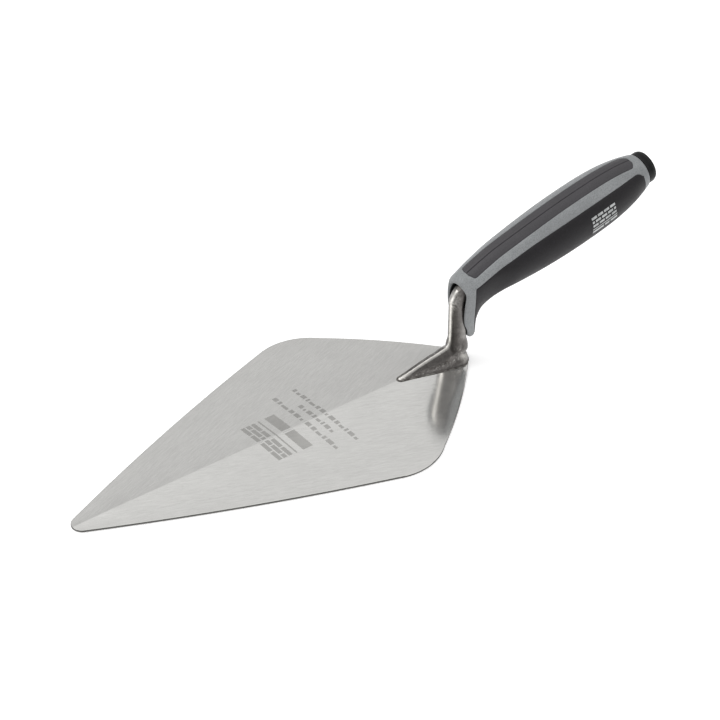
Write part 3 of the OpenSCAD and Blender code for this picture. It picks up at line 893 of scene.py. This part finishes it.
def blade_mark():
    """A running-bond panel between two rules, then three broken rules, all across the blade."""
    rects = [(r[0] - 9.8, r[1] - 1.0, r[2] - 9.8, r[3] - 1.0) for r in bricks(3, 4, 3.6, 8.5, 0.9)]
    rects += [(-2.6, -17.8, -1.6, 15.8), (2.4, -17.8, 9.4, -1.6), (2.4, -0.6, 9.4, 15.8)]
    for a, half, dash in ((17.6, 27.5, 4.2), (25.0, 15.0, 3.0), (32.2, 27.5, 3.4)):
        b = -half
        k = 0
        while b < half - 0.5:
            length = dash * (0.7, 1.2, 0.45, 0.95)[k % 4]
            rects.append((a, b, a + 3.0 if k % 3 else a + 2.0, min(b + length, half)))
            b += length + 1.3
            k += 1
    return slabs(rects, on_blade, 2.0)


MARK_U, MARK_V = station(77.6), 82.5


def on_grip(a, b, level):
    """a runs along the handle and b round it, in millimetres from the mark's centre."""
    u = MARK_U + a / 10.0
    v = MARK_V + np.degrees(b / 15.5)
    return skin_at(u, v, -0.015 + (1 - level) * 0.10)


def handle_mark():
    rects = [(r[1], r[0] - 1.6, r[3], r[2] - 1.6) for r in bricks(3, 4, 2.3, 5.0, 0.95)]
    rects += [(-10.0, 2.5, 10.0, 3.1)]
    rects += [(a, 4.0, b, 5.6) for a, b in ((-10.0, -1.2), (-0.2, 3.4), (4.4, 10.0))]
    return slabs(rects, on_grip, 1.0)


# ------------------------------
# make the pieces


def add_piece(name, made, replaced=(), sharp=None):
    points, faces = made
    piece = mesh_object(name, points, faces, sharp)
    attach(piece, "root")
    if replaced:
        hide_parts(*replaced)
    return piece


def build_shank():
    """The forged foot, neck and bend, joined to the straight tang by a boolean union."""
    forged = mesh_object("shank_part", *surface_nets(shank_field, (FOOT_TIP - 1.4, -10.2, 0.7),
                                                     (HEEL_X + 18.5, 10.2, 66.0), 0.415))
    tang = mesh_object("tang_part", *build_tang())
    join = forged.modifiers.new("join", "BOOLEAN")
    join.operation, join.solver, join.object = "UNION", "EXACT", tang
    evaluated = forged.evaluated_get(bpy.context.evaluated_depsgraph_get())
    mesh = bpy.data.meshes.new_from_object(evaluated)
    mesh.name = "shank_visual"
    smooth(mesh)
    for o in (forged, tang):
        bpy.data.objects.remove(o)
    piece = put("shank_visual", mesh)
    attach(piece, "root")
    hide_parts("shank")
    return piece


blade = add_piece("blade_visual", build_blade(), ["blade"], sharp=50)
shank = build_shank()
weld = add_piece("foot_weld_visual", surface_nets(bead_field, (FOOT_TIP - 2.5, -11.6, 0.4),
                 (HEEL_X + 0.6, 11.6, 5.0), 0.355), ["foot_weld"])
shell = add_piece("handle_shell_visual", build_shell(), ["handle_shell"], sharp=60)
top_grip = add_piece("top_grip_visual", build_top_grip(), ["top_grip"], sharp=60)
lower_grip = add_piece("lower_grip_visual", build_lower_grip(), ["lower_grip"],
                       sharp=60)
cap = add_piece("end_cap_visual", build_cap(), ["end_cap"], sharp=50)
etched = add_piece("blade_mark", blade_mark(), sharp=30)
printed = add_piece("handle_mark", handle_mark(), sharp=30)


# ------------------------------
# materials


def tint(colour, factor):
    return tuple(c * factor for c in colour)


class Look:
    """A node material built by short calls. Sizes are in millimetres."""

    def __init__(self, name, colour, rough, metal=0.0, **own):
        self.material = bpy.data.materials.new(name)
        self.material.use_nodes = True
        self.tree = self.material.node_tree
        self.shader = self.tree.nodes["Principled BSDF"]
        values = {"Base Color": (*colour, 1), "Roughness": rough, "Metallic": metal, **own}
        for key, value in values.items():
            self.shader.inputs[key.replace("_", " ")].default_value = value
        self.bump_end = None
        self.place = self.node("ShaderNodeTexCoord").outputs["Object"]

    def set(self, socket, value):
        if isinstance(value, bpy.types.NodeSocket):
            self.tree.links.new(value, socket)
        else:
            socket.default_value = value

    def node(self, kind, inputs=None, **values):
        """A new node. inputs maps names or numbers of its sockets to values or other sockets."""
        made = self.tree.nodes.new(kind)
        for key, value in values.items():
            setattr(made, key, value)
        for key, value in (inputs or {}).items():
            self.set(made.inputs[key], value)
        return made

    def math(self, operation, a, b=0.0):
        return self.node("ShaderNodeMath", {0: a, 1: b}, operation=operation).outputs[0]

    def scaled(self, *pairs):
        """Sum of two values, each times its own share."""
        return self.math("ADD", *(self.math("MULTIPLY", value, share) for value, share in pairs))

    def parts(self):
        return self.node("ShaderNodeSeparateXYZ", {0: self.place}).outputs

    def vector(self, x, y, z):
        return self.node("ShaderNodeCombineXYZ", {0: x, 1: y, 2: z}).outputs[0]

    def noise(self, size, detail=2.0, rough=0.5, place=None, distort=0.0):
        return self.node("ShaderNodeTexNoise", {
            "Vector": place or self.place, "Scale": 1 / (size * MM), "Detail": detail,
            "Roughness": rough, "Distortion": distort}).outputs["Fac"]

    def cells(self, size, feature="F1", place=None):
        inputs = {"Vector": place or self.place, "Scale": 1 / (size * MM)}
        return self.node("ShaderNodeTexVoronoi", inputs, feature=feature).outputs["Distance"]

    def spread(self, value, low, high, to_low=0.0, to_high=1.0):
        inputs = {"Value": value, "From Min": low, "From Max": high, "To Min": to_low, "To Max": to_high}
        return self.node("ShaderNodeMapRange", inputs, interpolation_type="SMOOTHSTEP").outputs["Result"]

    def mix(self, share, *colours):
        a, b = (c if isinstance(c, bpy.types.NodeSocket) else (*c, 1) for c in colours)
        return self.node("ShaderNodeMix", {0: share, 6: a, 7: b}, data_type="RGBA").outputs[2]

    def attribute(self, name):
        return self.node("ShaderNodeAttribute", attribute_name=name).outputs["Fac"]

    def bump(self, height, depth, strength=1.0):
        """depth is in millimetres."""
        inputs = {"Strength": strength, "Distance": depth * MM, "Height": height}
        if self.bump_end is not None:
            inputs["Normal"] = self.bump_end
        self.bump_end = self.node("ShaderNodeBump", inputs).outputs[0]
        self.set(self.shader.inputs["Normal"], self.bump_end)

    def finish(self, colour=None, *rough):
        """The material. rough holds a value and how it spreads between two roughnesses."""
        if colour is not None:
            self.set(self.shader.inputs["Base Color"], colour)
            self.set(self.shader.inputs["Roughness"], self.spread(*rough))
        return self.material


def wear(thing, *materials):
    thing.data.materials.clear()
    for material in materials:
        thing.data.materials.append(material)


GRIND = math.radians(18.5)


def ground_place(k, along, across):
    """Coordinates that run with the grinding on each half of the blade, stretched into streaks."""
    x, y, z = k.parts()
    side = k.math("SIGN", y)
    y = k.math("ABSOLUTE", y)
    u = k.scaled((x, math.cos(GRIND)), (y, math.sin(GRIND)))
    v = k.math("SUBTRACT", k.math("MULTIPLY", y, math.cos(GRIND)), k.math("MULTIPLY", x, math.sin(GRIND)))
    return k.vector(k.math("DIVIDE", u, along), k.math("DIVIDE", v, across), k.math("MULTIPLY", side, 0.37))


def streak(k, along, across, detail=2.0, rough=0.5, distort=0.0):
    """Streak noise of the given length and width in millimetres."""
    return k.noise(1000.0, detail, rough, ground_place(k, along * MM, across * MM), distort)


def blade_look(name, colour, rough, contrast=1.0):
    k = Look(name, colour, rough, 0.84, Anisotropic=0.35)
    broad = k.noise(26.0, 3.0, 0.6)
    soft = streak(k, 8.0, 1.0, 3.0, 0.6, 0.15)
    fine = streak(k, 5.0, 0.24, 3.0, 0.65)
    hair = streak(k, 22.0, 0.11, 1.0)
    tone = k.scaled((soft, 0.35 * contrast), (fine, 0.65 * contrast))
    shade = k.mix(k.spread(tone, 0.30 * contrast, 0.70 * contrast), tint(colour, 0.87), tint(colour, 1.10))
    patches = k.mix(k.spread(broad, 0.35, 0.70), tint(colour, 0.94), tint(colour, 1.04))
    shade = k.mix(0.35, shade, patches)
    scratch = k.spread(hair, 0.66, 0.74)
    shade = k.mix(k.math("MULTIPLY", scratch, 0.35), shade, tint(colour, 1.25))
    # painted shade: the far (+Y) half of the blade is a tenth darker than the near half
    far_half_painted_shade = k.spread(k.parts()[1], -0.0004, 0.0004, 1.0, 0.90)
    shade = k.mix(far_half_painted_shade, (0, 0, 0), shade)
    k.bump(fine, 0.005, 0.6)
    k.bump(soft, 0.007, 0.5)
    k.bump(hair, 0.004, 0.6)
    return k.finish(shade, k.scaled((fine, 0.6), (broad, 0.4)), 0.3, 0.7, rough - 0.03, rough + 0.05)


def edge_look():
    """The sheared rim of the blade: dark and drawn along the thickness."""
    k = Look("sheared edge", (0.10, 0.098, 0.095), 0.45, 0.9)
    grain = k.noise(0.5, 3.0, 0.6)
    shade = k.mix(k.spread(grain, 0.35, 0.7), (0.075, 0.073, 0.07), (0.17, 0.165, 0.16))
    k.bump(grain, 0.02, 0.5)
    return k.finish(shade, grain, 0.3, 0.7, 0.36, 0.55)


def forged_look(name, colour, lighter, rough):
    k = Look(name, colour, rough, 0.92, Coat_Weight=0.12, Coat_Roughness=0.12)
    scale_mask = k.noise(3.6, 4.0, 0.65, distort=0.6)
    pits = k.cells(0.9, "SMOOTH_F1")
    grain = k.noise(0.45, 3.0, 0.65)
    # the wear attribute: on the shank mostly painted highlights in the lighter colour, on the weld bead
    # lighter random patches
    worn_and_highlit = k.attribute("wear")
    dark = tint(colour, 0.78)
    shade = k.mix(k.spread(scale_mask, 0.38, 0.66), dark, tint(colour, 1.18))
    shade = k.mix(k.math("MULTIPLY", k.spread(grain, 0.45, 0.75), 0.40), shade, tint(colour, 1.7))
    shade = k.mix(worn_and_highlit, shade, lighter)
    k.bump(scale_mask, 0.16, 0.55)
    k.bump(k.spread(pits, 0.0, 0.55), 0.06, 0.5)
    k.bump(grain, 0.035, 0.6)
    return k.finish(shade, k.scaled((scale_mask, 0.6), (grain, 0.4)), 0.35, 0.68, rough + 0.14, rough - 0.10)


def moulded_look(name, colour, rough, grain_size, grain_depth, edge, shine=0.5):
    """Moulded plastic or rubber: sparked texture, faint flow mottling and edges rubbed lighter."""
    k = Look(name, colour, rough, 0.0, Coat_Roughness=0.3, Specular_IOR_Level=shine)
    texture = k.cells(grain_size, "SMOOTH_F1")
    grain = k.noise(grain_size * 0.6, 2.0, 0.6)
    flow = k.noise(17.0, 3.0, 0.6)
    dust = k.noise(1.3, 4.0, 0.7)
    speck = k.noise(0.75, 2.0, 0.8)
    shade = k.mix(k.spread(flow, 0.35, 0.68), tint(colour, 0.90), tint(colour, 1.10))
    shade = k.mix(k.math("MULTIPLY", k.spread(dust, 0.52, 0.80), 0.28), shade, edge)
    shade = k.mix(k.math("MULTIPLY", k.spread(speck, 0.56, 0.36), 0.52), shade, tint(colour, 0.5))
    shade = k.mix(k.math("MULTIPLY", k.attribute("wear"), 0.75), shade, edge)
    k.bump(k.spread(texture, 0.0, 0.6), grain_depth, 0.8)
    k.bump(grain, grain_depth * 0.7, 0.6)
    return k.finish(shade, k.scaled((flow, 0.5), (dust, 0.5)), 0.35, 0.65, rough - 0.07, rough + 0.07)


def ink_look():
    k = Look("printed ink", (0.47, 0.48, 0.48), 0.5, 0.0)
    speck = k.noise(0.6, 3.0, 0.7)
    rub = k.noise(4.0, 2.0, 0.6)
    shade = k.mix(k.spread(rub, 0.40, 0.70), (0.50, 0.51, 0.51), (0.34, 0.35, 0.35))
    shade = k.mix(k.spread(speck, 0.62, 0.70), shade, (0.16, 0.16, 0.165))
    k.bump(speck, 0.01, 0.6)
    return k.finish(shade, speck, 0.3, 0.7, 0.42, 0.6)


def turned_look(name, colour, rough):
    """Machined steel of the hidden washer and nut."""
    k = Look(name, colour, rough, 1.0)
    rings = k.noise(0.35, 2.0, 0.6)
    stain = k.noise(4.0, 3.0, 0.6)
    shade = k.mix(k.spread(stain, 0.4, 0.7), tint(colour, 0.8), tint(colour, 1.15))
    k.bump(rings, 0.01, 0.6)
    return k.finish(shade, rings, 0.3, 0.7, rough - 0.08, rough + 0.1)


# writes the wear attribute: rubbed edges on moulded parts, mostly painted highlights on the shank
def put_wear_and_highlights(thing, values):
    data = thing.data.attributes.new("wear", "FLOAT", "POINT")
    data.data.foreach_set("value", np.clip(values, 0, 1).astype(np.float32))


def vertices(thing):
    return read(thing.data.vertices, "co") / MM


def edge_wear(thing, reach=2.1, gain=1.6):
    """Wear from how far each point stands out over the mean of its neighbours, spread one step."""
    co, normals = vertices(thing), read(thing.data.vertices, "normal")
    a, b = read(thing.data.edges, "vertices", 2, int).T
    both = ((a, b), (b, a))
    mean, count = np.zeros_like(co), np.zeros(len(co))
    length = np.linalg.norm(co[a] - co[b], axis=1)
    near = length < reach
    for i, j in both:
        np.add.at(mean, i[near], (co[j[near]] - co[i[near]]) / np.maximum(length[near], 1e-6)[:, None])
        np.add.at(count, i[near], 1)
    out = -np.einsum("ij,ij->i", mean / np.maximum(count, 1)[:, None], normals)
    value = np.clip(out * gain, 0, 1)
    blurred, n = value.copy(), np.ones(len(co))
    for i, j in both:
        np.add.at(blurred, i, value[j])
        np.add.at(n, i, 1)
    return np.maximum(value * 0.6, blurred / n)


def shank_wear_and_painted_highlights(thing):
    """Painted highlights on the foot's ridge, nose, lower shoulder and heel bulge, on the bend and on the
    neck's right side; speckled on the nose, shoulder and bend, where they also stand for worn spots.
    """
    p = vertices(thing)
    x, y, z = p.T
    h, _, angle = path_place(p)

    def spot(value, centre, width):
        return np.exp(-((value - centre) / width) ** 2)

    speckle = np.clip(0.55 + 0.9 * noise(p, 0.9, 21), 0, 1.2)
    over = z - foot_ridge(x)
    on_foot = ease((z - 1.0) / 0.6) * (1 - ease((over - 1.0) / 1.5)) * (x < HEEL_X)
    share = np.abs(y) / np.maximum(foot_half_width(x), 1.0)
    # painted highlights: ridge, nose, shoulder, bend, heel bulge and the neck's right side
    ridge = spot(y, 0, 0.85) * (over > -1.6) * (x < HEEL_X - 13) * (1.15 + 0.3 * noise(p, 1.6, 25))
    nose = spot(x, FOOT_TIP + 1.0, 2.0) * 0.6
    grains = np.clip(0.02 + 0.45 * noise(p, 0.5, 27), 0, 1)
    shoulder = spot(share, 0.72, 0.20) * on_foot * (x < HEEL_X - 8) * grains
    bend = spot(h, NECK_HEIGHT + 3.0, 4.5) * spot(angle, 0.35, 0.45) * 0.45
    heel = spot(x, HEEL_X - 6.5, 2.6) * spot(np.abs(y), 6.6, 2.0) * spot(z, 6.0, 3.0) * 0.9
    side = spot(angle, 1.75, 0.42) * ease((h - 2) / 5) * 0.22
    return np.clip((nose + bend + shoulder) * speckle + heel + ridge + side, 0, 1)


satin = blade_look("satin ground steel", (0.652, 0.647, 0.629), 0.12)
etch = blade_look("etched steel", (0.42, 0.415, 0.40), 0.50, 0.8)
sheared = edge_look()
# the shank's lighter colour is the colour of its painted highlights
forged = forged_look("forged steel", (0.120, 0.112, 0.106), (0.84, 0.82, 0.78), 0.33)
bead_steel = forged_look("weld bead", (0.10, 0.092, 0.086), (0.30, 0.29, 0.27), 0.38)
grey = moulded_look("grey shell", (0.250, 0.260, 0.266), 0.50, 0.42, 0.030, (0.40, 0.415, 0.42))
pad_rubber = moulded_look("pad rubber", (0.040, 0.037, 0.042), 0.50, 0.50, 0.045, (0.11, 0.105, 0.11))
grip_rubber = moulded_look("grip rubber", (0.015, 0.0137, 0.0155), 0.50, 0.30, 0.018,
                           (0.06, 0.056, 0.06), shine=0.24)
hard_black = moulded_look("cap plastic", (0.005, 0.0053, 0.0056), 0.36, 0.55, 0.012,
                          (0.10, 0.10, 0.10), shine=0.16)
# core plastic, also used as painted shade on the wall of the neck opening
core_plastic_and_gap_shade = moulded_look("core plastic", (0.020, 0.020, 0.021), 0.6, 0.5, 0.02, (0.06, 0.06, 0.06))

for thing in (shell, top_grip, lower_grip, cap, printed):
    put_wear_and_highlights(thing, edge_wear(thing))
# the shank's wear attribute is mostly painted highlight, with worn speckle on the nose and shoulder
put_wear_and_highlights(shank, shank_wear_and_painted_highlights(shank))
put_wear_and_highlights(weld, 0.25 + 0.5 * noise(vertices(weld), 2.0, 31))
wear(blade, satin, sheared)
wear(etched, etch)
wear(shank, forged)
wear(weld, bead_steel)
wear(shell, grey, core_plastic_and_gap_shade)
wear(top_grip, pad_rubber)
wear(lower_grip, grip_rubber)
wear(cap, hard_black)
wear(printed, ink_look())
hidden = {"handle_core": core_plastic_and_gap_shade, "tang_washer": turned_look("washer steel", (0.5, 0.5, 0.49), 0.35),
          "tang_nut": turned_look("nut steel", (0.56, 0.54, 0.48), 0.32)}
for name, look in hidden.items():
    wear(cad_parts[name], look)


def second_look(thing, chosen):
    thing.data.polygons.foreach_set("material_index", chosen.astype(np.int32))


second_look(blade, np.abs(read(blade.data.polygons, "normal")[:, 2]) < 0.75)
# the wall of the neck opening takes the near-black core plastic: painted shade in the gap round the neck
wall_h, wall_d, _ = path_place(read(shell.data.polygons, "center") / MM)
second_look(shell, wall_d < gap_radius(wall_h) + 0.12)

# ------------------------------
# studio and camera


FLOOR_HALF, FLOOR_Z = 9000, -0.3
corners = [(x * FLOOR_HALF, y * FLOOR_HALF, FLOOR_Z) for x, y in ((-1, -1), (1, -1), (1, 1), (-1, 1))]
floor = mesh_object("floor", corners, [(0, 1, 2, 3)])
wear(floor, Look("floor", (0.93, 0.93, 0.93), 0.9, Emission_Color=(1, 1, 1, 1),
                 Emission_Strength=0.32).finish())

# a white world that brightens with height
SKY_RISE, SKY_BASE = 0.80, 0.34
world = bpy.data.worlds.new("studio")
world.use_nodes = True
sky = world.node_tree
sky.nodes["Background"].inputs["Color"].default_value = (1, 1, 1, 1)
height = sky.nodes.new("ShaderNodeSeparateXYZ")
sky.links.new(sky.nodes.new("ShaderNodeTexCoord").outputs["Generated"], height.inputs[0])
strength = sky.nodes.new("ShaderNodeMath")
strength.operation = "MULTIPLY_ADD"
sky.links.new(height.outputs[2], strength.inputs[0])
strength.inputs[1].default_value, strength.inputs[2].default_value = SKY_RISE, SKY_BASE
sky.links.new(strength.outputs[0], sky.nodes["Background"].inputs["Strength"])
bpy.context.scene.world = world
bpy.context.scene.view_settings.view_transform = "Standard"

lamp = bpy.data.lights.new("top", "AREA")
lamp.shape = "RECTANGLE"
lamp.size = lamp.size_y = 1.8
lamp.energy = 17
light = put("top", lamp)
light.location = (-1.0, 1.0, 1.6)
light.rotation_mode = "QUATERNION"
light.rotation_quaternion = (-light.location).to_track_quat("-Z", "Y")

target = Vector((0.0603, 0.0, 0.020))
azimuth, elevation, roll = (math.radians(a) for a in (-43.12, 38.66, 6.61))
back = Vector((math.sin(azimuth) * math.cos(elevation), -math.cos(azimuth) * math.cos(elevation),
               math.sin(elevation)))
right = Vector((0, 0, 1)).cross(back).normalized()
up = back.cross(right)
cam_x = right * math.cos(roll) + up * math.sin(roll)
cam_y = -right * math.sin(roll) + up * math.cos(roll)
camera_data = bpy.data.cameras.new("camera")
camera_data.lens = 117.94
camera_data.sensor_width = 36.0
camera_data.shift_x, camera_data.shift_y = -0.0056, 0.0190
camera_data.clip_start, camera_data.clip_end = 0.05, 60
camera = put("camera", camera_data)
turn = Matrix((cam_x, cam_y, back)).transposed().to_4x4()
camera.matrix_world = Matrix.Translation(target + back * 1.36205) @ turn
bpy.context.scene.camera = camera
